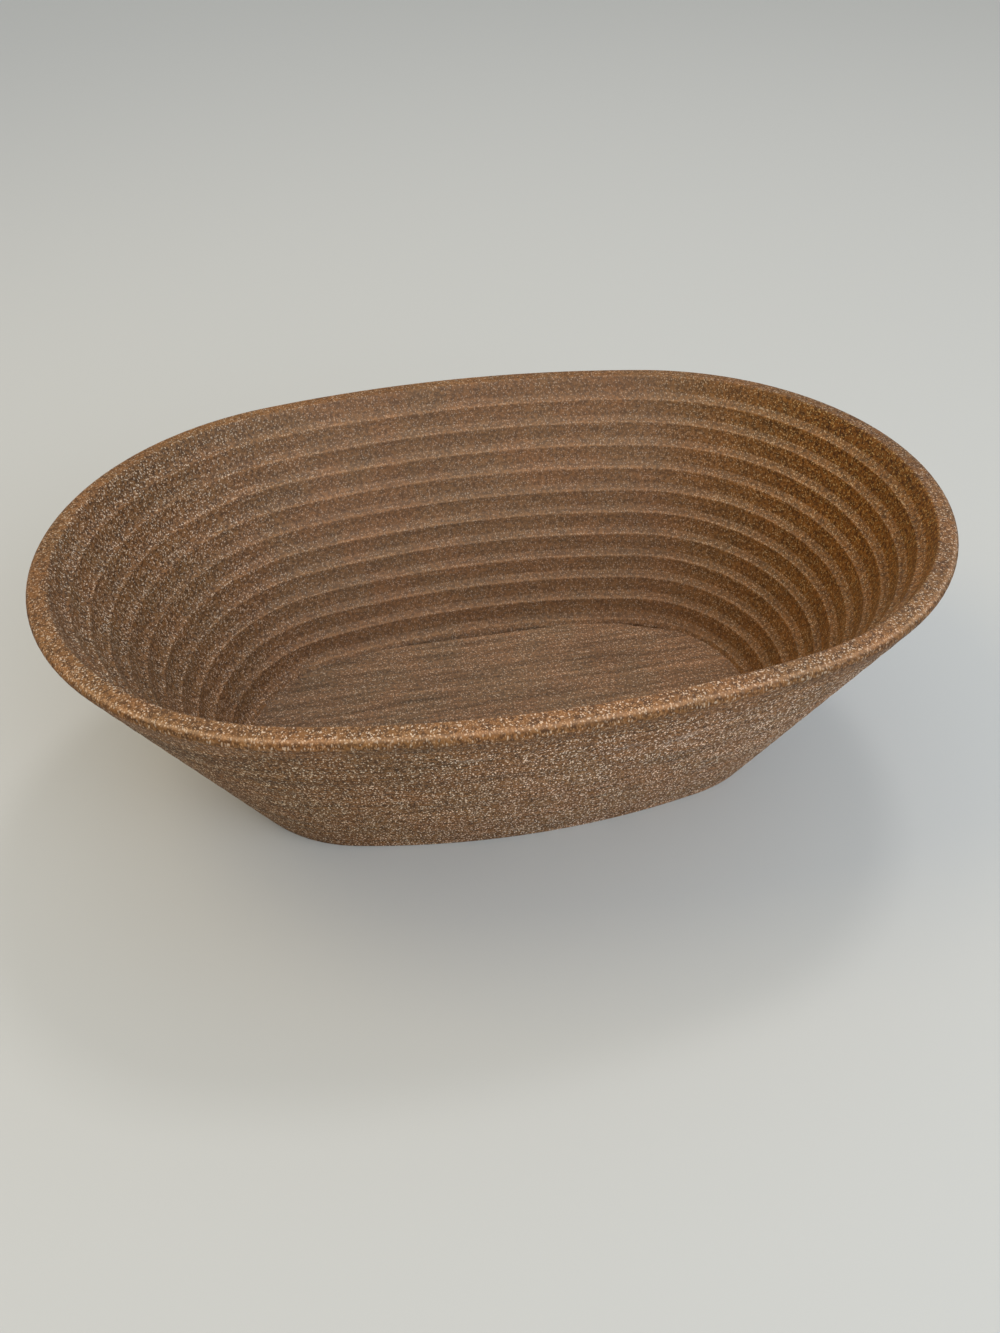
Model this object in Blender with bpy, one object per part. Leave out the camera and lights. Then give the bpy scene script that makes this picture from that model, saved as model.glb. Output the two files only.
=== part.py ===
"""Oval proofing basket: one flared shell with stepped rings round the inside of its wall."""

import math

import bmesh
import bpy

# Plan of the basket, in metres: each oval is two end arcs joined by two flatter side arcs.
RIM_LENGTH = 0.250
RIM_WIDTH = 0.170
RIM_END_RADIUS = 0.080
BASE_LENGTH = 0.168
BASE_WIDTH = 0.0925
BASE_END_RADIUS = 0.0416

# Section through the wall. The wall's thickness is measured level, at the crest of a ring.
HEIGHT = 0.0805
WALL = 0.0058
FLOOR = 0.0050
BASE_EDGE_RADIUS = 0.0012
RIM_OUTER_RADIUS = 0.0020
RIM_INNER_RADIUS = 0.0006

# Rings inside the wall: a steep riser runs down to a cove, then a ledge runs out to the crest.
# As many rings as fit lie between the rim and the floor, and the floor cuts off the last riser.
RING_PITCH = 0.00674
FIRST_CREST_DROP = 0.0064
LEDGE_HEIGHT = 0.0019
RING_DEPTH = 0.0017
FLOOR_CLEARANCE = 0.0008
COVE_RADIUS = 0.0012
CREST_RADIUS = 0.0005

# Facets on a quarter of each oval, and on each rounded corner of the section.
END_STEPS = 12
SIDE_STEPS = 4
EDGE_STEPS = 3
RIM_STEPS = 5
RING_STEPS = 1

SHELL_COLOUR = (0.235, 0.145, 0.090, 1.0)
SHELL_ROUGHNESS = 0.62

# Mean lean of the wall: how far it moves outwards for each metre that it rises.
END_LEAN = (RIM_LENGTH - BASE_LENGTH) / 2 / HEIGHT
SIDE_LEAN = (RIM_WIDTH - BASE_WIDTH) / 2 / HEIGHT
LEAN = (END_LEAN + SIDE_LEAN) / 2


def clear_scene():
    for thing in list(bpy.data.objects):
        bpy.data.objects.remove(thing, do_unlink=True)


def quarter_oval(half_length, half_width, end_radius):
    """Points from the end of the long axis to just short of the end of the short axis."""
    end_centre = half_length - end_radius
    side_radius = (end_centre**2 + half_width**2 - end_radius**2) / (2 * (half_width - end_radius))
    side_centre = half_width - side_radius
    join = math.atan2(-side_centre, end_centre)
    points = []
    for step in range(END_STEPS):
        turn = join * step / END_STEPS
        points.append((end_centre + end_radius * math.cos(turn), end_radius * math.sin(turn)))
    for step in range(SIDE_STEPS):
        turn = join + (math.pi / 2 - join) * step / SIDE_STEPS
        points.append((side_radius * math.cos(turn), side_centre + side_radius * math.sin(turn)))
    return points


def oval(half_length, half_width, end_radius):
    """The whole oval, anticlockwise from the end of the long axis."""
    first = quarter_oval(half_length, half_width, end_radius)
    second = [(-x, y) for x, y in reversed(first[1:])]
    upper = first + [(0.0, half_width)] + second + [(-half_length, 0.0)]
    lower = [(x, -y) for x, y in reversed(upper[1:-1])]
    return upper + lower


def section_oval(inset, z):
    """The oval of the wall's outside at height z, drawn in all round by the inset."""
    rise = z / HEIGHT
    half_length = BASE_LENGTH / 2 + (RIM_LENGTH - BASE_LENGTH) / 2 * rise - inset
    half_width = BASE_WIDTH / 2 + (RIM_WIDTH - BASE_WIDTH) / 2 * rise - inset
    end_radius = BASE_END_RADIUS + (RIM_END_RADIUS - BASE_END_RADIUS) * rise - inset
    return oval(half_length, half_width, end_radius)


def ring_corners():
    """Coves and crests as (inset, height, radius), downwards from the rim to the first one below the floor."""
    corners = []
    crest = HEIGHT - FIRST_CREST_DROP
    while not corners or corners[-1][1] > FLOOR + FLOOR_CLEARANCE:
        corners.append((WALL - RING_DEPTH, crest + LEDGE_HEIGHT, COVE_RADIUS))
        corners.append((WALL, crest, CREST_RADIUS))
        crest -= RING_PITCH
    return corners


def section_corners():
    """Corners of the wall's section as (inset, height, radius, facets), from the base to the floor."""
    wall_angle = math.atan(LEAN)
    lip = RIM_OUTER_RADIUS * (math.tan(math.pi / 4 + wall_angle / 2) - 1)
    corners = [
        (0.0, 0.0, BASE_EDGE_RADIUS, EDGE_STEPS),
        (-lip, HEIGHT, RIM_OUTER_RADIUS, RIM_STEPS),
        (WALL, HEIGHT, RIM_INNER_RADIUS, EDGE_STEPS),
    ]
    low = FLOOR + FLOOR_CLEARANCE
    rings = ring_corners()
    shown = [corner for corner in rings if corner[1] > low]
    corners.extend((inset, z, radius, RING_STEPS) for inset, z, radius in shown)
    # The floor cuts the line from the last corner above it to the next one below.
    last = shown[-1]
    following = rings[len(shown)]
    share = (last[1] - FLOOR) / (last[1] - following[1])
    corners.append((last[0] + (following[0] - last[0]) * share, FLOOR, 0.0, 0))
    return corners


def arc_between(start, corner, end, radius, steps):
    """The corner of a flat outline, rounded to an arc of the radius."""
    back = (start[0] - corner[0], start[1] - corner[1])
    ahead = (end[0] - corner[0], end[1] - corner[1])
    back_length = math.hypot(*back)
    ahead_length = math.hypot(*ahead)
    back = (back[0] / back_length, back[1] / back_length)
    ahead = (ahead[0] / ahead_length, ahead[1] / ahead_length)
    half_angle = math.acos(back[0] * ahead[0] + back[1] * ahead[1]) / 2
    middle = (back[0] + ahead[0], back[1] + ahead[1])
    middle_length = math.hypot(*middle)
    reach = radius / math.sin(half_angle)
    centre_x = corner[0] + middle[0] / middle_length * reach
    centre_z = corner[1] + middle[1] / middle_length * reach
    tangent = radius / math.tan(half_angle)
    first = (corner[0] + back[0] * tangent, corner[1] + back[1] * tangent)
    last = (corner[0] + ahead[0] * tangent, corner[1] + ahead[1] * tangent)
    first_turn = math.atan2(first[1] - centre_z, first[0] - centre_x)
    last_turn = math.atan2(last[1] - centre_z, last[0] - centre_x)
    sweep = math.remainder(last_turn - first_turn, 2 * math.pi)
    turns = [first_turn + sweep * step / steps for step in range(steps + 1)]
    return [(centre_x + radius * math.cos(turn), centre_z + radius * math.sin(turn)) for turn in turns]


def section_points():
    """The wall's section with its corners rounded, as (inset, height)."""
    corners = section_corners()
    # The section is drawn upright: out from the base oval, with the wall leaning as it does on average.
    flat = [(LEAN * z - inset, z) for inset, z, radius, steps in corners]
    before = [(-BASE_WIDTH / 2, 0.0)] + flat[:-1]
    after = flat[1:] + [(-BASE_WIDTH / 2, FLOOR)]
    drawn = []
    for (inset, z, radius, steps), start, corner, end in zip(corners, before, flat, after):
        if steps == 0:
            drawn.append(corner)
        else:
            drawn.extend(arc_between(start, corner, end, radius, steps))
    return [(LEAN * z - out, z) for out, z in drawn]


def join_ovals(shape, lower, upper):
    """A band of faces between two ovals, each vertex joined to the one at the same place on the other."""
    neighbours = zip(lower, lower[1:] + lower[:1], upper[1:] + upper[:1], upper)
    for corners in neighbours:
        shape.faces.new(corners)


def shell_mesh():
    """The shell as a loft through the ovals of the wall's section, closed by the underside and the floor."""
    shape = bmesh.new()
    ovals = []
    for inset, z in section_points():
        ovals.append([shape.verts.new((x, y, z)) for x, y in section_oval(inset, z)])
    for lower, upper in zip(ovals, ovals[1:]):
        join_ovals(shape, lower, upper)
    shape.faces.new(reversed(ovals[0]))
    shape.faces.new(ovals[-1])
    bmesh.ops.recalc_face_normals(shape, faces=shape.faces)
    mesh = bpy.data.meshes.new("basket_shell")
    shape.to_mesh(mesh)
    shape.free()
    mesh.shade_smooth()
    mesh.set_sharp_from_angle(angle=math.radians(35))
    return mesh


def shell_material():
    """Brown wood-filled plastic with a dull surface."""
    material = bpy.data.materials.new("wood_filled_plastic")
    material.use_nodes = True
    surface = material.node_tree.nodes["Principled BSDF"]
    surface.inputs["Base Color"].default_value = SHELL_COLOUR
    surface.inputs["Roughness"].default_value = SHELL_ROUGHNESS
    surface.inputs["Metallic"].default_value = 0.0
    return material


def build_basket():
    collection = bpy.data.collections.new("proofing_basket")
    bpy.context.scene.collection.children.link(collection)
    mesh = shell_mesh()
    mesh.materials.append(shell_material())
    collection.objects.link(bpy.data.objects.new("basket_shell", mesh))


clear_scene()
build_basket()
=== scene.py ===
"""Looks of the printed oval proofing basket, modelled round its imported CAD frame."""

import math
from collections import namedtuple

import bmesh
import bpy
from mathutils import Matrix, Vector, noise


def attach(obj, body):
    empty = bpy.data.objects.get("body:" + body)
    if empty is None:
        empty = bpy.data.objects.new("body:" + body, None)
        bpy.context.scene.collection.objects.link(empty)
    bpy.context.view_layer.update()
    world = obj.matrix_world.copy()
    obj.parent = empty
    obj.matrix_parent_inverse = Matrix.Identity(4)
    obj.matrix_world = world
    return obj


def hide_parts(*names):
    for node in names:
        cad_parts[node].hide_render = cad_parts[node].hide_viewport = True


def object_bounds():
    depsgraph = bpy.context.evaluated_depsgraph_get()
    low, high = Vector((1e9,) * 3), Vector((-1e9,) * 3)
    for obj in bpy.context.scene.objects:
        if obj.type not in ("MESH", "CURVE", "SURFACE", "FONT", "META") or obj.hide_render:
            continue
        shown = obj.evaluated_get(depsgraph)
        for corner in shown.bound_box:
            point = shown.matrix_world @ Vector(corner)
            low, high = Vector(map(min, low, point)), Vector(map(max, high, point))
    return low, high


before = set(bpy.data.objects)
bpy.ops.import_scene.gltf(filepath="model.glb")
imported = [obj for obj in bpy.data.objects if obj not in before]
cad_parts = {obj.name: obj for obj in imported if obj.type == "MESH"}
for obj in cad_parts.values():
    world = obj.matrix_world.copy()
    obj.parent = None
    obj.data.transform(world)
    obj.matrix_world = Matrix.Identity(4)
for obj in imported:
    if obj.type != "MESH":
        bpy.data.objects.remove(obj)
cad_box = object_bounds()

# Plan of the basket, in metres, as the CAD part has it: two end arcs joined by two flatter side arcs.
RIM_LENGTH = 0.250
RIM_WIDTH = 0.170
RIM_END_RADIUS = 0.080
BASE_LENGTH = 0.168
BASE_WIDTH = 0.0925
BASE_END_RADIUS = 0.0416

# Section through the wall, with the CAD part's sizes, except that the rings are shallower and rounder and
# begin a little lower, and that the rim's top is a little thinner. A place that is drawn in by less than
# the outside's inset counts as outside.
HEIGHT = cad_box[1][2] - cad_box[0][2]
WALL = 0.0058
OUTSIDE_INSET = WALL / 4
FLOOR = 0.0050
BASE_EDGE_RADIUS = 0.0012
RIM_OUTER_RADIUS = 0.0020
RIM_THICKNESS = 0.0053
RIM_INNER_RADIUS = 0.0008
RIM_REACH = 0.0030
RIM_SIDE_REACH = 0.0110
RING_PITCH = 0.00674
FIRST_CREST_DROP = 0.0068
LEDGE_HEIGHT = 0.0019
RING_DEPTH = 0.00105
LAND_HEIGHT = 0.00025
LAND_DEPTH = 0.0006
RISER_BOW = 0.00018
FLOOR_CLEARANCE = 0.0008
RISER_RADIUS = 0.018
COVE_RADIUS = 0.0012
LAND_RADIUS = 0.0006
CREST_RADIUS = 0.0004
LEAN = (RIM_LENGTH - BASE_LENGTH + RIM_WIDTH - BASE_WIDTH) / 4 / HEIGHT

# Facets: round a quarter of the plan, along its end arc, and on the section's rounded corners.
QUARTER_STEPS = 34
END_STEPS = 24
CORNER_STEPS = 4
RIM_STEPS = 12

# Printed layers: their height, how far they stand in and out, and how long one stays the same. The outside
# also swells a little, by the band's relief, at a drop below the height of each crest. All this fades out
# towards the rim, the base and the floor.
LAYER = 0.00046
LAYER_RELIEF = 0.00005
LAYER_RUN = 0.030
BAND_RELIEF = 0.00005
BAND_DROP = 0.0033
RELIEF_FADE = 0.003

# Floor and underside: straight printed lines with a shallow groove between neighbours, whose depth varies
# by a share from groove to groove. In the floor a gap is left beside the last line at each side, and at one
# corner, where the lines stop short of the wall. That gap starts at a distance from the middle, in the
# direction of the corner's turn.
LINE_PITCH = 0.0026
LINE_GROOVE = 0.0010
LINE_RELIEF = 0.00016
GROOVE_VARIES = 0.8
GROOVE_NOISE_STEP = 1.7
GAP_WIDTH = 0.0019
GAP_DEPTH = 0.0020
GAP_EDGE = 0.0001
CORNER_GAP_START = 0.0539
UNDERSIDE_BORDER = 0.004
CORNER_TURN = math.radians(66.0)
FLOOR_ACROSS = Vector((0.0, 1.0, 0.0))
FLOOR_CORNER = Vector((math.cos(CORNER_TURN), math.sin(CORNER_TURN), 0.0))
UNDERSIDE_ACROSS = Vector((1.0, 1.0, 0.0)).normalized()
FLATTEST_LEAN = 0.9
SHARP_ANGLE = math.radians(40)
LEVEL_TOLERANCE = LAYER / 4
CUT_TOLERANCE = 1e-7

# Finish of each part of the basket: how strongly its long and its short fibres and its dark mottle show,
# the share of a greyish film on the plastic between the fibres, partly flour and partly a painted sheen,
# how golden and how light the part is, how much paler its ledges and its crests are, how strongly the
# printed lines show as streaks, the pattern's scale upwards, which is small where the fibres look drawn
# out up the wall, and the roughness. The parts' differences in lightness are painted light and shade,
# the strong gold of the left outside and of the inside's right end is painted warm light, and the paler
# ledges and crests are painted light, with a painted highlight on the crests.
Finish = namedtuple("Finish", "long short dark film gold tone ledge crest streak upright rough")
SHADED = ("long", "short", "dark", "film", "gold", "tone", "streak", "upright", "rough")
# The left outside is darker and more golden: painted shade with painted warm light.
OUTSIDE_LEFT_SHADED = Finish(1.20, 1.20, 1.0, 0.0, 0.17, 0.69, 0.0, 0.0, 1.0, 0.45, 0.80)
OUTSIDE = Finish(1.36, 1.36, 1.0, 0.04, 0.0, 0.95, 0.0, 0.0, 1.0, 0.45, 0.80)
RIM_SIDE = Finish(0.50, 0.85, 0.9, 0.02, 0.08, 0.87, 0.0, 0.0, 0.7, 0.45, 0.72)
# The rim's side is darker at the right end: painted shade.
RIM_SIDE_RIGHT_SHADED = Finish(0.50, 0.85, 0.9, 0.02, 0.08, 0.68, 0.0, 0.0, 0.7, 0.45, 0.72)
# The rim's front outer edge is lighter and greyer: a painted highlight. Its low roughness is its real
# smoothness.
RUBBED_EDGE_HIGHLIGHT = Finish(0.30, 0.65, 0.5, 0.28, 0.0, 1.40, 0.0, 0.0, 0.3, 0.45, 0.30)
# The rim's top is darker at its ends and lighter at its front and its far side: painted shade and light.
RIM_ENDS_SHADED = Finish(0.52, 1.05, 0.85, 0.02, 0.08, 0.75, 0.0, 0.0, 0.4, 0.45, 0.62)
RIM_FAR = Finish(0.46, 0.90, 0.70, 0.02, 0.08, 0.84, 0.0, 0.0, 0.4, 0.45, 0.70)
RIM_FRONT_LIT = Finish(0.72, 1.25, 0.9, 0.04, 0.0, 0.98, 0.0, 0.0, 0.4, 0.45, 0.50)
# The inside's left end is darker: painted shade.
INSIDE_LEFT_SHADED = Finish(0.98, 0.98, 1.0, 0.06, 0.08, 0.76, 0.0, 0.02, 0.5, 0.9, 0.60)
INSIDE = Finish(0.34, 0.36, 0.78, 0.20, 0.0, 1.00, 0.08, 0.15, 0.42, 0.9, 0.60)
# The inside's right end and its near side are more golden with paler ledges: painted warm bounce light and
# painted light.
INSIDE_RIGHT_BOUNCE_LIT = Finish(0.56, 0.56, 1.0, 0.0, 0.54, 0.93, 0.34, 0.10, 0.5, 0.9, 0.60)
INSIDE_NEAR_BOUNCE_LIT = Finish(0.50, 0.50, 1.0, 0.0, 0.58, 0.90, 0.05, 0.0, 0.5, 0.9, 0.60)
# The floor is darker to the left and lighter to the right: painted shade and light.
FLOOR_LEFT_SHADED = Finish(0.56, 0.58, 1.0, 0.34, 0.0, 0.82, 0.0, 0.0, 1.1, 0.9, 0.60)
FLOOR_RIGHT_LIT = Finish(0.52, 0.54, 0.9, 0.32, 0.0, 1.16, 0.0, 0.0, 1.1, 0.9, 0.60)

# Where one finish goes over to the next: along the inside to the left and the right end, and across the
# right end to its near side; along the floor and the outside; up the outside to the rim's side, and along
# that; by the inset over the rim's outer edge, top and inner edge; and across the basket on the rim's top,
# to its front and its far side, and on its rubbed front edge, which carries a painted highlight.
LEFT_CHANGE = (-0.105, -0.045)
RIGHT_CHANGE = (0.063, 0.110)
NEAR_CHANGE = (0.030, -0.030)
FLOOR_CHANGE = (-0.065, 0.015)
OUTSIDE_CHANGE = (-0.075, 0.0)
SIDE_CHANGE = (HEIGHT - RIM_SIDE_REACH, HEIGHT - RIM_REACH)
SIDE_RIGHT_CHANGE = (0.040, 0.105)
EDGE_CHANGE = (-0.0001, 0.0006)
TOP_CHANGE = (0.0009, 0.0014)
INNER_CHANGE = (0.0048, 0.0052)
FRONT_CHANGE = (0.0, -0.075)
FAR_CHANGE = (0.010, 0.060)
HIGHLIGHT_CHANGE = (-0.025, -0.070)

# The crests of the rings are lighter within this distance, a painted highlight. How pale a ledge is makes
# it lighter, as painted light, and adds to its greyish film, as a painted sheen, by these shares, and it
# keeps this share of its golden tint.
CREST_REACH = 0.0006
LEDGE_PAINTED_LIGHT = 0.6
LEDGE_PAINTED_SHEEN = 0.6
LEDGE_GOLD = 0.5

# Wood fibres of two sizes: how far apart they lie, their length and width, how much they cover and their
# colour. Each fades out from this share of its half size to its edge.
Fibre = namedtuple("Fibre", "spacing length width cover colour")
LONG_FIBRE = Fibre(0.00066, 0.0011, 0.00042, 0.9, (0.92, 0.74, 0.60, 1.0))
SHORT_FIBRE = Fibre(0.00044, 0.0007, 0.00030, 0.7, (0.55, 0.33, 0.18, 1.0))
FIBRE_CORE = 0.7

# Plastic between the fibres: its colour, that of its dark mottle and of the greyish film on it, which is
# partly flour and partly a painted sheen, and the mottle's size.
BODY_COLOUR = (0.246, 0.109, 0.033, 1.0)
MOTTLE_COLOUR = (0.070, 0.026, 0.006, 1.0)
FLOUR_AND_SHEEN_COLOUR = (0.25, 0.20, 0.165, 1.0)
MOTTLE_SIZE = 0.0010
MOTTLE_DETAIL = 3.0
MOTTLE_FADE = (0.65, 0.35)

# Wide patches of a warmer and a cooler tint, and the golden tint, which is painted warm light where it is
# strong.
PATCH_SIZE = 0.014
PATCH_DETAIL = 2.0
PATCH_FADE = (0.35, 0.65)
WARM_TINT = (1.03, 0.99, 0.96, 1.0)
COOL_TINT = (0.975, 1.01, 1.015, 1.0)
GOLD_TINT = (1.0, 0.77, 0.0, 1.0)

# Streaks of printed lines, fine and broad: how long they run, how far they lie apart and how strong they
# are.
FINE_STREAKS = (0.025, 0.0014, 0.30)
BROAD_STREAKS = (0.060, 0.0045, 0.18)
STREAK_DETAIL = 2.0
STREAK_RANGE = (0.25, 0.75)

# Fine relief of the fibres and the mottle, which is rubbed off where the surface is smooth, and the sheen.
LONG_FIBRE_RELIEF = 0.7
RUBBED_FADE = (0.2, 0.7)
BUMP_STRENGTH = 0.5
BUMP_DISTANCE = 0.00012
SHEEN = 0.3

# Pale scuffs on the outside of the wall: middle, length, width and slant.
SCUFFS = (
    ((0.030, -0.0746, 0.0604), 0.019, 0.0064, math.radians(30.0)),
    ((0.016, -0.0769, 0.0627), 0.010, 0.0034, math.radians(12.0)),
    ((-0.021, -0.0790, 0.0678), 0.014, 0.0024, math.radians(0.0)),
)
SCUFF_DEPTH = 0.008
SCUFF_COVER = 0.7
SCUFF_COLOUR = (0.66, 0.58, 0.52, 1.0)
SCUFF_FADE = (1.0, 0.1)
SCRATCH_SCALE = 11.0
SCRATCH_DETAIL = 3.0
SCRATCH_FADE = (0.48, 0.62)

# Light of the room from its left and its right.
ROOM_LEFT = (1.0, 0.88, 0.68, 1.0)
ROOM_RIGHT = (0.90, 0.98, 1.04, 1.0)
ROOM_LIGHT = 0.66

# Square area lamps: name, place, the point they are turned to, size, power and colour.
SOFTBOXES = (
    ("overhead", (0.35, 0.45, 1.25), (0.0, 0.0, 0.0), 0.22, 2.4, (1.0, 0.94, 0.87)),
    ("front_window", (0.45, -0.8, 0.58), (0.0, 0.0, 0.04), 0.7, 5.2, (0.93, 0.98, 1.0)),
    ("warm_side", (-0.42, 0.02, 0.72), (0.02, 0.0, 0.04), 0.35, 1.2, (1.0, 0.76, 0.40)),
)

# The ground, as half its width, its colour, its roughness and its sheen.
GROUND_REACH = 6.0
GROUND_COLOUR = (0.585, 0.610, 0.635, 1.0)
GROUND_ROUGHNESS = 0.9
GROUND_SHEEN = 0.2

# The section is spun at this radius before each vertex moves to its own place on the oval.
SPIN_RADIUS = 1.0

# Camera, from the outline, rim and rings of the basket in the photograph.
PHOTO_WIDTH = 1000
PHOTO_HEIGHT = 1333
FOCAL_PIXELS = 1086.0
SENSOR = 36.0
CAMERA_AZIMUTH = math.radians(-9.88)
CAMERA_ELEVATION = math.radians(40.73)
CAMERA_ROLL = math.radians(-1.28)
CAMERA_PLACE = (-0.04446, -0.24913, 0.24316)
CAMERA_NEAREST = 0.01


def section_corners():
    """Corners of the wall's section as (inset, height, radius, facets), from the base to the floor."""
    lip = RIM_OUTER_RADIUS * (math.tan(math.pi / 4 + math.atan(LEAN) / 2) - 1)
    corners = [
        (UNDERSIDE_BORDER, 0.0, 0.0, 0),
        (0.0, 0.0, BASE_EDGE_RADIUS, CORNER_STEPS),
        (-lip, HEIGHT, RIM_OUTER_RADIUS, RIM_STEPS),
        (RIM_THICKNESS, HEIGHT, RIM_INNER_RADIUS, CORNER_STEPS),
    ]
    riser = RING_PITCH - LEDGE_HEIGHT
    middle_inset = WALL - RING_DEPTH / 2 - RISER_BOW
    crest = HEIGHT - FIRST_CREST_DROP
    while crest > FLOOR + FLOOR_CLEARANCE:
        if crest < HEIGHT - FIRST_CREST_DROP:
            corners.append((middle_inset, crest + LEDGE_HEIGHT + riser / 2, RISER_RADIUS, CORNER_STEPS))
        corners.append((WALL - RING_DEPTH, crest + LEDGE_HEIGHT, COVE_RADIUS, CORNER_STEPS))
        corners.append((WALL - LAND_DEPTH, crest + LAND_HEIGHT, LAND_RADIUS, CORNER_STEPS))
        corners.append((WALL, crest, CREST_RADIUS, CORNER_STEPS))
        crest -= RING_PITCH
    # Below the lowest crest the wall runs on down to the floor at the slope of its ledge.
    slope = (RING_DEPTH - LAND_DEPTH) / (LEDGE_HEIGHT - LAND_HEIGHT)
    corners.append((WALL + slope * (crest + RING_PITCH - FLOOR), FLOOR, 0.0, 0))
    return corners


def round_corner(section, corner, radius, facets):
    """Rounds one corner of the section's outline to an arc."""
    first, second = [edge.other_vert(corner).co - corner.co for edge in corner.link_edges]
    reach = radius / math.tan(first.angle(second) / 2)
    bmesh.ops.bevel(section, geom=[corner], offset=reach, offset_type="OFFSET", affect="VERTICES",
                    segments=facets, profile=0.5, material=-1)


def wall_section():
    """The wall's section as an open outline in the XZ plane, with a point on every printed layer."""
    section = bmesh.new()
    corners = section_corners()
    points = []
    for inset, z, radius, facets in corners:
        points.append(section.verts.new((SPIN_RADIUS + LEAN * z - inset, 0.0, z)))
    for pair in zip(points, points[1:]):
        section.edges.new(pair)
    for point, (inset, z, radius, facets) in zip(points, corners):
        if facets:
            round_corner(section, point, radius, facets)
    for edge in list(section.edges):
        layers = int(edge.calc_length() / LAYER)
        if layers:
            bmesh.ops.subdivide_edges(section, edges=[edge], cuts=layers)
    return section


def oval_point(turn, inset, z):
    """The point of the oval at height z, drawn in by the inset, for a turn round the spun section."""
    rise = z / HEIGHT
    half_length = BASE_LENGTH / 2 + (RIM_LENGTH - BASE_LENGTH) / 2 * rise - inset
    half_width = BASE_WIDTH / 2 + (RIM_WIDTH - BASE_WIDTH) / 2 * rise - inset
    end_radius = BASE_END_RADIUS + (RIM_END_RADIUS - BASE_END_RADIUS) * rise - inset
    end_centre = half_length - end_radius
    side_radius = (end_centre**2 + half_width**2 - end_radius**2) / (2 * (half_width - end_radius))
    side_centre = half_width - side_radius
    join = math.atan2(-side_centre, end_centre)
    x_side = math.copysign(1.0, math.cos(turn))
    y_side = math.copysign(1.0, math.sin(turn))
    # Steps from the nearer end of the long axis, out of a quarter's steps.
    step = math.asin(min(1.0, abs(math.sin(turn)))) / (math.pi / 2) * QUARTER_STEPS
    if step < END_STEPS:
        swing = join * step / END_STEPS
        x = end_centre + end_radius * math.cos(swing)
        y = end_radius * math.sin(swing)
    else:
        swing = join + (math.pi / 2 - join) * (step - END_STEPS) / (QUARTER_STEPS - END_STEPS)
        x = side_radius * math.cos(swing)
        y = side_centre + side_radius * math.sin(swing)
    return Vector((x_side * x, y_side * y, z))


def layer_offset(place, outside):
    """How far the printed layer at a place stands in from the plain wall."""
    run = Vector((place.x / LAYER_RUN, place.y / LAYER_RUN, place.z / LAYER))
    offset = LAYER_RELIEF * noise.noise(run)
    if outside:
        band = (HEIGHT - FIRST_CREST_DROP - BAND_DROP - place.z) / RING_PITCH
        offset -= BAND_RELIEF * math.cos(2 * math.pi * band)
    return offset


def ring_shares(z):
    """How near a height is to a ring's crest, from 0 to 1, and whether it is on a ledge, as 0 or 1."""
    first_crest = HEIGHT - FIRST_CREST_DROP
    if z > first_crest + LEDGE_HEIGHT:
        return 0.0, 0.0
    below_crest = (first_crest - z) % RING_PITCH
    distance = min(below_crest, RING_PITCH - below_crest)
    crest = max(0.0, 1.0 - distance / CREST_REACH)
    return crest, float(below_crest > RING_PITCH - LEDGE_HEIGHT)


def blend_finish(first, second, value, change):
    """The first finish, going over to the second as a value goes through the change's start and end."""
    start, end = change
    share = min(1.0, max(0.0, (value - start) / (end - start)))
    return Finish(*(before + (after - before) * share for before, after in zip(first, second)))


def finish_inside(place):
    """The finish at a place on the inside of the wall or on the floor."""
    if place.z <= FLOOR:
        return blend_finish(FLOOR_LEFT_SHADED, FLOOR_RIGHT_LIT, place.x, FLOOR_CHANGE)
    finish = blend_finish(INSIDE_LEFT_SHADED, INSIDE, place.x, LEFT_CHANGE)
    right = blend_finish(INSIDE_RIGHT_BOUNCE_LIT, INSIDE_NEAR_BOUNCE_LIT, place.y, NEAR_CHANGE)
    finish = blend_finish(finish, right, place.x, RIGHT_CHANGE)
    # Lighter crests are a painted highlight; paler ledges are painted light with a painted sheen.
    crest, on_ledge = ring_shares(place.z)
    ledge = finish.ledge * on_ledge
    tone = finish.tone + finish.crest * crest + LEDGE_PAINTED_LIGHT * ledge
    gold = finish.gold * (1.0 - on_ledge + LEDGE_GOLD * on_ledge)
    return finish._replace(tone=tone, gold=gold, film=finish.film + LEDGE_PAINTED_SHEEN * ledge)


def finish_at(inset, place):
    """The finish at a place on the shell, where it is drawn in from the outside by the inset."""
    if inset > OUTSIDE_INSET and FLOOR / 2 < place.z < HEIGHT - RIM_INNER_RADIUS:
        return finish_inside(place)
    finish = blend_finish(OUTSIDE_LEFT_SHADED, OUTSIDE, place.x, OUTSIDE_CHANGE)
    side = blend_finish(RIM_SIDE, RIM_SIDE_RIGHT_SHADED, place.x, SIDE_RIGHT_CHANGE)
    finish = blend_finish(finish, side, place.z, SIDE_CHANGE)
    if place.z > HEIGHT - RIM_REACH:
        rim = blend_finish(RIM_ENDS_SHADED, RIM_FRONT_LIT, place.y, FRONT_CHANGE)
        rim = blend_finish(rim, RIM_FAR, place.y, FAR_CHANGE)
        edge = blend_finish(rim, RUBBED_EDGE_HIGHLIGHT, place.y, HIGHLIGHT_CHANGE)
        finish = blend_finish(finish, edge, inset, EDGE_CHANGE)
        finish = blend_finish(finish, rim, inset, TOP_CHANGE)
        finish = blend_finish(finish, finish_inside(place), inset, INNER_CHANGE)
    return finish


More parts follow.
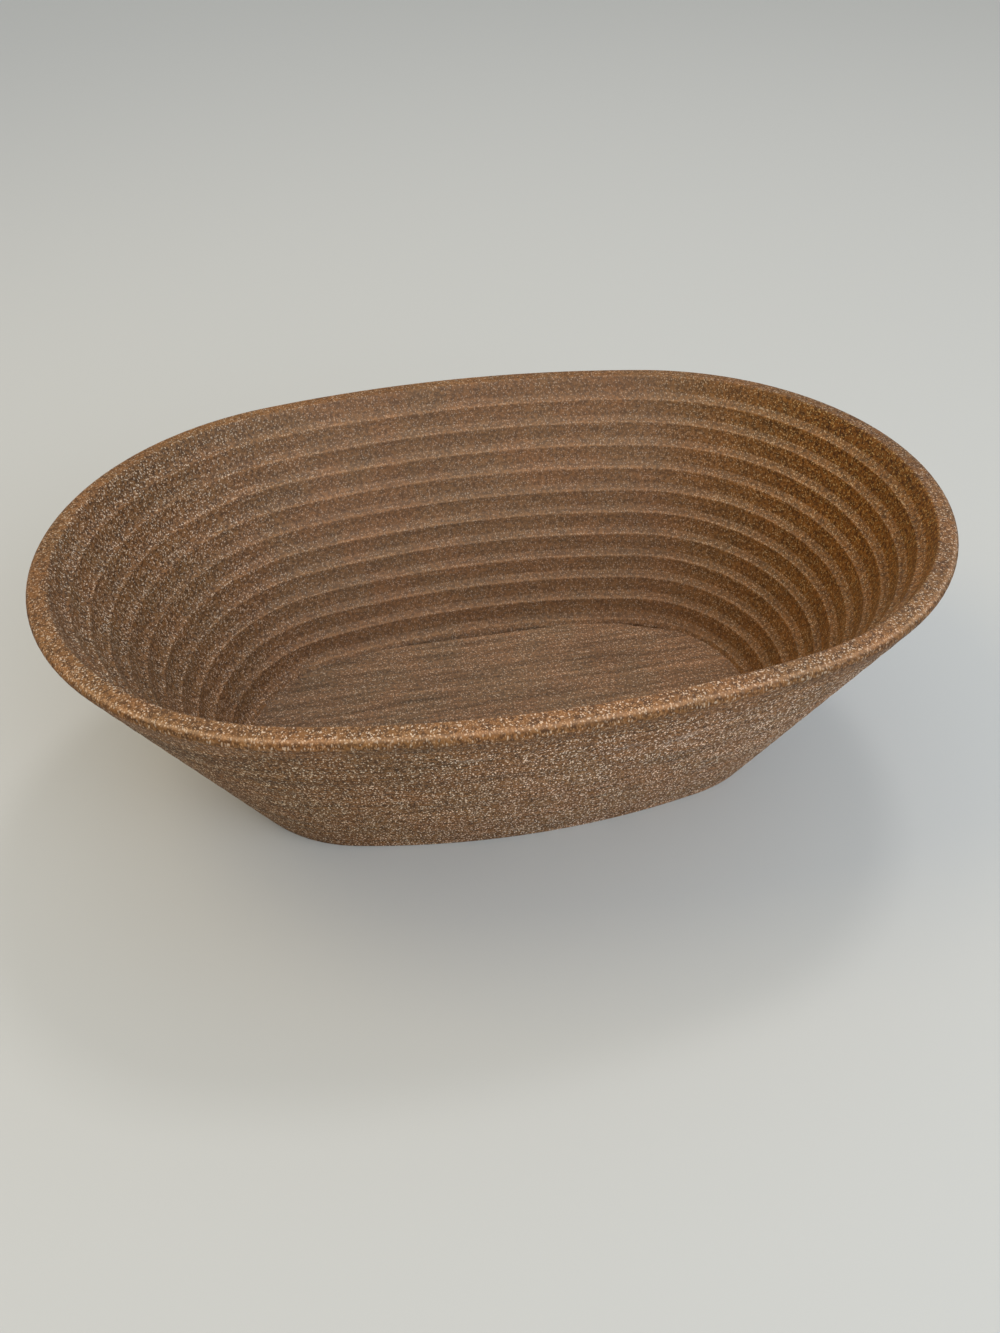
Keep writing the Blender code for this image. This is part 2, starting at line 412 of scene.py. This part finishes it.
def shape_wall(shell):
    """Moves each vertex of the spun section to its place on the oval, with the relief of the layers."""
    layers = [(name, shell.verts.layers.float.new(name)) for name in SHADED]
    for vert in shell.verts:
        z = vert.co.z
        inset = SPIN_RADIUS + LEAN * z - math.hypot(vert.co.x, vert.co.y)
        turn = math.atan2(vert.co.y, vert.co.x)
        place = oval_point(turn, inset, z)
        outside = inset < OUTSIDE_INSET
        lowest = BASE_EDGE_RADIUS if outside else FLOOR + FLOOR_CLEARANCE
        share = min(1.0, max(0.0, min(z - lowest, HEIGHT - RIM_REACH - z) / RELIEF_FADE))
        vert.co = oval_point(turn, inset + share * layer_offset(place, outside), z)
        finish = finish_at(inset, place)
        for name, layer in layers:
            vert[layer] = getattr(finish, name)


def close_border(shell, z):
    """Closes the shell's open border at a height with one flat face."""
    edges = [edge for edge in shell.edges if edge.is_boundary]
    border = [edge for edge in edges if abs(edge.verts[0].co.z - z) < LEVEL_TOLERANCE]
    return bmesh.ops.contextual_create(shell, geom=border)["faces"][0]


def cut_strips(shell, strips, across, cut):
    """Cuts flat strips with a plane square to a direction, and gives the strips and the cut's vertices."""
    geom = strips + list(dict.fromkeys(edge for strip in strips for edge in strip.edges))
    geom += list(dict.fromkeys(vert for strip in strips for vert in strip.verts))
    level = Vector((0.0, 0.0, strips[0].verts[0].co.z))
    made = bmesh.ops.bisect_plane(shell, geom=geom, dist=CUT_TOLERANCE, plane_co=level + across * cut,
                                  plane_no=across)
    strips = [part for part in made["geom"] if isinstance(part, bmesh.types.BMFace)]
    return strips, [part for part in made["geom_cut"] if isinstance(part, bmesh.types.BMVert)]


def print_lines(shell, face, across, edge):
    """Divides a flat face into lines, out to an edge at each side, with a groove between neighbours."""
    inwards = -face.normal
    strips = [face]
    sunk = []
    count = round(2 * edge / LINE_PITCH)
    for line in range(1, count):
        middle = edge * (2 * line / count - 1.0)
        for cut in (middle - LINE_GROOVE / 2, middle, middle + LINE_GROOVE / 2):
            strips, verts = cut_strips(shell, strips, across, cut)
            if cut == middle:
                change = noise.noise(Vector((0.0, 0.0, GROOVE_NOISE_STEP * line)))
                depth = LINE_RELIEF * (1.0 + GROOVE_VARIES * change)
                sunk.extend((vert, depth) for vert in verts)
    for side in (-edge, edge):
        strips = cut_strips(shell, strips, across, side)[0]
    for vert, depth in sunk:
        vert.co += inwards * depth
    return strips


def lay_floor(shell, face):
    """Makes the floor's face into lines along the basket, with gaps at its sides and at one corner."""
    edge = max(vert.co.dot(FLOOR_ACROSS) for vert in face.verts) - GAP_WIDTH
    strips = print_lines(shell, face, FLOOR_ACROSS, edge)
    strips.sort(key=lambda strip: strip.calc_center_bounds().dot(FLOOR_ACROSS))
    first_gap, *lines, last_gap = strips
    pieces = cut_strips(shell, lines, FLOOR_CORNER, CORNER_GAP_START)[0]
    ends = [piece for piece in pieces if piece.calc_center_bounds().dot(FLOOR_CORNER) > CORNER_GAP_START]
    for gap in (first_gap, last_gap):
        bmesh.ops.inset_individual(shell, faces=[gap], thickness=GAP_EDGE, depth=-GAP_DEPTH)
    bmesh.ops.inset_region(shell, faces=ends, thickness=0.0, depth=-GAP_DEPTH)


def lay_underside(shell, face):
    """Makes the underside's face into slanting lines."""
    reach = max(vert.co.dot(UNDERSIDE_ACROSS) for vert in face.verts)
    print_lines(shell, face, UNDERSIDE_ACROSS, reach - LINE_PITCH / 2)


def mark_print_path(shell):
    """Notes at each face corner how far it lies across the printed lines: up the wall, or across a flat.

    The wall is shaded smooth but for its sharp edges, and the straight lines of the flats are not.
    """
    path = shell.loops.layers.float.new("path")
    for face in shell.faces:
        across = Vector((0.0, 0.0, 1.0))
        low = face.calc_center_median().z < FLOOR + LAYER
        if low and face.normal.z > FLATTEST_LEAN:
            across = FLOOR_ACROSS
        elif low and face.normal.z < -FLATTEST_LEAN:
            across = UNDERSIDE_ACROSS
        face.smooth = across.z > 0.0
        for loop in face.loops:
            loop[path] = loop.vert.co.dot(across)
    for edge in shell.edges:
        edge.smooth = edge.calc_face_angle() < SHARP_ANGLE


def basket_mesh():
    """The whole basket: the spun wall moved to its oval, the floor and the underside."""
    shell = wall_section()
    bmesh.ops.spin(shell, geom=shell.verts[:] + shell.edges[:], cent=(0.0, 0.0, 0.0),
                   axis=(0.0, 0.0, 1.0), angle=2 * math.pi, steps=4 * QUARTER_STEPS, use_merge=True)
    shape_wall(shell)
    floor = close_border(shell, FLOOR)
    underside = close_border(shell, 0.0)
    bmesh.ops.recalc_face_normals(shell, faces=shell.faces)
    lay_floor(shell, floor)
    lay_underside(shell, underside)
    bmesh.ops.recalc_face_normals(shell, faces=shell.faces)
    mark_print_path(shell)
    mesh = bpy.data.meshes.new("printed_basket")
    shell.to_mesh(mesh)
    shell.free()
    return mesh


def add_node(tree, kind, inputs=None, **settings):
    """A shader node with its settings, and its inputs given as values or as the sockets to link."""
    made = tree.nodes.new(kind)
    for name, value in settings.items():
        setattr(made, name, value)
    for name, value in (inputs or {}).items():
        if isinstance(value, bpy.types.NodeSocket):
            tree.links.new(value, made.inputs[name])
        else:
            made.inputs[name].default_value = value
    return made


def add_math(tree, operation, *values):
    """A math node's result."""
    return add_node(tree, "ShaderNodeMath", dict(enumerate(values)), operation=operation).outputs[0]


def fade(tree, value, start, end):
    """1 where the value is at or past the end, 0 at or before the start, and smooth between."""
    inputs = {"Value": value, "From Min": start, "From Max": end}
    eased = add_node(tree, "ShaderNodeMapRange", inputs, interpolation_type="SMOOTHSTEP")
    return eased.outputs["Result"]


def add_vector_math(tree, operation, first, second=None, scale=None):
    """A vector math node's first result: a vector, or the length for LENGTH."""
    inputs = {0: first}
    if second is not None:
        inputs[1] = second
    if scale is not None:
        inputs["Scale"] = scale
    made = add_node(tree, "ShaderNodeVectorMath", inputs, operation=operation)
    return made.outputs["Value" if operation == "LENGTH" else "Vector"]


def add_noise(tree, place, scale, detail):
    """A noise node's value."""
    inputs = {"Vector": place, "Scale": scale, "Detail": detail}
    return add_node(tree, "ShaderNodeTexNoise", inputs).outputs["Fac"]


def blend_colour(tree, share, first, second):
    """The first colour, going over to the second by the share."""
    blend = add_node(tree, "ShaderNodeMix", data_type="RGBA", clamp_factor=False, clamp_result=False)
    for name, value in (("Factor_Float", share), ("A_Color", first), ("B_Color", second)):
        socket = next(item for item in blend.inputs if item.identifier == name)
        if isinstance(value, bpy.types.NodeSocket):
            tree.links.new(value, socket)
        else:
            socket.default_value = value
    return next(item for item in blend.outputs if item.identifier == "Result_Color")


def fibres(tree, place, fibre):
    """Mask of wood fibres of one size, at most one to a cell, each lying its own way."""
    cells = add_node(tree, "ShaderNodeTexVoronoi", {"Vector": place, "Scale": 1 / fibre.spacing})
    chance = add_node(tree, "ShaderNodeSeparateColor", {"Color": cells.outputs["Color"]})
    offset = add_vector_math(tree, "SUBTRACT", place, cells.outputs["Position"])
    turns = add_vector_math(tree, "SCALE", cells.outputs["Color"], scale=2 * math.pi)
    turned = add_node(tree, "ShaderNodeVectorRotate", {"Vector": offset, "Rotation": turns},
                      rotation_type="EULER_XYZ")
    slimness = (2 / fibre.length, 2 / fibre.width, 2 / fibre.width)
    slimmed = add_vector_math(tree, "MULTIPLY", turned.outputs[0], slimness)
    body = fade(tree, add_vector_math(tree, "LENGTH", slimmed), 1.0, FIBRE_CORE)
    strength = fade(tree, chance.outputs["Blue"], 0.0, 1.0)
    return add_math(tree, "MULTIPLY", body, strength)


def lay_fibres(tree, colour, mask, shown, fibre):
    """The colour with fibres over it, as strongly as the finish shows them."""
    share = add_math(tree, "MULTIPLY", add_math(tree, "MULTIPLY", mask, shown), fibre.cover)
    return blend_colour(tree, share, colour, fibre.colour)


def streaks(tree, place, path, run, height, depth):
    """Streaks of lighter and darker printed lines, as a change above and below 0."""
    along = add_vector_math(tree, "MULTIPLY", place, (1 / run, 1 / run, 0.0))
    across = add_node(tree, "ShaderNodeCombineXYZ", {"Z": add_math(tree, "MULTIPLY", path, 1 / height)})
    drawn = add_vector_math(tree, "ADD", along, across.outputs[0])
    low, high = STREAK_RANGE
    inputs = {"Value": add_noise(tree, drawn, 1.0, STREAK_DETAIL), "From Min": low, "From Max": high,
              "To Min": -depth, "To Max": depth}
    return add_node(tree, "ShaderNodeMapRange", inputs).outputs["Result"]


def scuff(tree, place, middle, length, width, slant):
    """Mask of one scratchy scuff on the outside of the wall."""
    turned = add_node(tree, "ShaderNodeVectorRotate", {"Vector": place, "Center": middle, "Angle": slant},
                      rotation_type="Y_AXIS")
    offset = add_vector_math(tree, "SUBTRACT", turned.outputs[0], middle)
    sized = add_vector_math(tree, "MULTIPLY", offset, (2 / length, 2 / SCUFF_DEPTH, 2 / width))
    inside = fade(tree, add_vector_math(tree, "LENGTH", sized), *SCUFF_FADE)
    patchy = fade(tree, add_noise(tree, sized, SCRATCH_SCALE, SCRATCH_DETAIL), *SCRATCH_FADE)
    return add_math(tree, "MULTIPLY", inside, patchy)


def basket_finish():
    """Brown wood-filled plastic: pale fibres in a darker body, streaks of printed lines, a dull sheen."""
    material = bpy.data.materials.new("wood_filled_plastic_printed")
    material.use_nodes = True
    tree = material.node_tree
    surface = tree.nodes["Principled BSDF"]
    place = add_node(tree, "ShaderNodeTexCoord").outputs["Object"]
    shown = {}
    for name in (*SHADED, "path"):
        shown[name] = add_node(tree, "ShaderNodeAttribute", attribute_name=name).outputs["Fac"]

    mottle = add_noise(tree, place, 1 / MOTTLE_SIZE, MOTTLE_DETAIL)
    shadowed = add_math(tree, "MULTIPLY", fade(tree, mottle, *MOTTLE_FADE), shown["dark"])
    colour = blend_colour(tree, shadowed, BODY_COLOUR, MOTTLE_COLOUR)
    # The greyish film: partly flour, partly a painted sheen.
    colour = blend_colour(tree, shown["film"], colour, FLOUR_AND_SHEEN_COLOUR)
    scale = add_node(tree, "ShaderNodeCombineXYZ", {"X": 1.0, "Y": 1.0, "Z": shown["upright"]})
    below_rim = add_vector_math(tree, "SUBTRACT", place, (0.0, 0.0, HEIGHT))
    drawn = add_vector_math(tree, "MULTIPLY", below_rim, scale.outputs[0])
    long_fibres = fibres(tree, drawn, LONG_FIBRE)
    short_fibres = fibres(tree, drawn, SHORT_FIBRE)
    colour = lay_fibres(tree, colour, short_fibres, shown["short"], SHORT_FIBRE)
    colour = lay_fibres(tree, colour, long_fibres, shown["long"], LONG_FIBRE)
    for middle, length, width, slant in SCUFFS:
        mask = scuff(tree, place, middle, length, width, slant)
        colour = blend_colour(tree, add_math(tree, "MULTIPLY", mask, SCUFF_COVER), colour, SCUFF_COLOUR)

    patches = add_noise(tree, place, 1 / PATCH_SIZE, PATCH_DETAIL)
    tint = blend_colour(tree, fade(tree, patches, *PATCH_FADE), WARM_TINT, COOL_TINT)
    # The golden tint: painted warm light where it is strong.
    tint = blend_colour(tree, shown["gold"], tint, GOLD_TINT)
    colour = add_vector_math(tree, "MULTIPLY", colour, tint)

    lines = streaks(tree, place, shown["path"], *FINE_STREAKS)
    lines = add_math(tree, "ADD", lines, streaks(tree, place, shown["path"], *BROAD_STREAKS))
    shade = add_math(tree, "MULTIPLY_ADD", lines, shown["streak"], 1.0)
    # Each part's tone: painted light and shade.
    shade = add_math(tree, "MULTIPLY", shade, shown["tone"])
    colour = add_vector_math(tree, "SCALE", colour, scale=shade)

    relief = add_math(tree, "ADD", add_math(tree, "MULTIPLY", long_fibres, LONG_FIBRE_RELIEF), short_fibres)
    relief = add_math(tree, "ADD", relief, mottle)
    relief = add_math(tree, "MULTIPLY", relief, fade(tree, shown["rough"], *RUBBED_FADE))
    inputs = {"Height": relief, "Strength": BUMP_STRENGTH, "Distance": BUMP_DISTANCE}
    bump = add_node(tree, "ShaderNodeBump", inputs)
    tree.links.new(colour, surface.inputs["Base Color"])
    tree.links.new(bump.outputs["Normal"], surface.inputs["Normal"])
    tree.links.new(shown["rough"], surface.inputs["Roughness"])
    surface.inputs["Specular IOR Level"].default_value = SHEEN
    return material


def add_basket():
    """The basket, on the part's only body, in place of its CAD node."""
    mesh = basket_mesh()
    mesh.materials.append(basket_finish())
    basket = bpy.data.objects.new("printed_basket", mesh)
    bpy.context.scene.collection.objects.link(basket)
    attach(basket, "root")
    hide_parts("basket_shell")


def add_ground():
    """A plain pale floor."""
    ground_mesh = bpy.data.meshes.new("ground")
    sheet = bmesh.new()
    bmesh.ops.create_grid(sheet, x_segments=1, y_segments=1, size=GROUND_REACH)
    sheet.to_mesh(ground_mesh)
    sheet.free()
    ground = bpy.data.objects.new("ground", ground_mesh)
    material = bpy.data.materials.new("pale_ground")
    material.use_nodes = True
    surface = material.node_tree.nodes["Principled BSDF"]
    surface.inputs["Base Color"].default_value = GROUND_COLOUR
    surface.inputs["Roughness"].default_value = GROUND_ROUGHNESS
    surface.inputs["Specular IOR Level"].default_value = GROUND_SHEEN
    ground_mesh.materials.append(material)
    bpy.context.scene.collection.objects.link(ground)


def add_softbox(name, place, aim, size, power, colour):
    """A square area lamp turned towards a point."""
    lamp = bpy.data.lights.new(name, "AREA")
    lamp.size = size
    lamp.energy = power
    lamp.color = colour
    softbox = bpy.data.objects.new(name, lamp)
    softbox.location = place
    softbox.rotation_euler = (Vector(aim) - Vector(place)).to_track_quat("-Z", "Y").to_euler()
    bpy.context.scene.collection.objects.link(softbox)


def light_room():
    """Even light from all round, warmer from the left than from the right."""
    world = bpy.data.worlds.new("soft_room")
    world.use_nodes = True
    tree = world.node_tree
    towards = add_node(tree, "ShaderNodeTexCoord").outputs["Generated"]
    parts = add_node(tree, "ShaderNodeSeparateXYZ", {"Vector": towards})
    colour = blend_colour(tree, fade(tree, parts.outputs["X"], -1.0, 1.0), ROOM_LEFT, ROOM_RIGHT)
    tree.links.new(colour, tree.nodes["Background"].inputs["Color"])
    tree.nodes["Background"].inputs["Strength"].default_value = ROOM_LIGHT
    bpy.context.scene.world = world


def add_camera():
    """A camera at the photograph's place, turned about its line of sight by the roll."""
    back = Vector((math.sin(CAMERA_AZIMUTH) * math.cos(CAMERA_ELEVATION),
                   -math.cos(CAMERA_AZIMUTH) * math.cos(CAMERA_ELEVATION),
                   math.sin(CAMERA_ELEVATION)))
    level = Vector((0.0, 0.0, 1.0)).cross(back).normalized()
    upright = back.cross(level)
    right = math.cos(CAMERA_ROLL) * level + math.sin(CAMERA_ROLL) * upright
    up = math.cos(CAMERA_ROLL) * upright - math.sin(CAMERA_ROLL) * level
    lens = bpy.data.cameras.new("camera")
    lens.sensor_width = SENSOR
    lens.lens = FOCAL_PIXELS / max(PHOTO_WIDTH, PHOTO_HEIGHT) * SENSOR
    lens.clip_start = CAMERA_NEAREST
    camera = bpy.data.objects.new("camera", lens)
    turn = Matrix((right, up, back)).transposed().to_4x4()
    camera.matrix_world = Matrix.Translation(CAMERA_PLACE) @ turn
    bpy.context.scene.collection.objects.link(camera)
    bpy.context.scene.camera = camera


add_basket()
add_ground()
light_room()
for softbox in SOFTBOXES:
    add_softbox(*softbox)
add_camera()
bpy.context.scene.view_settings.view_transform = "Standard"
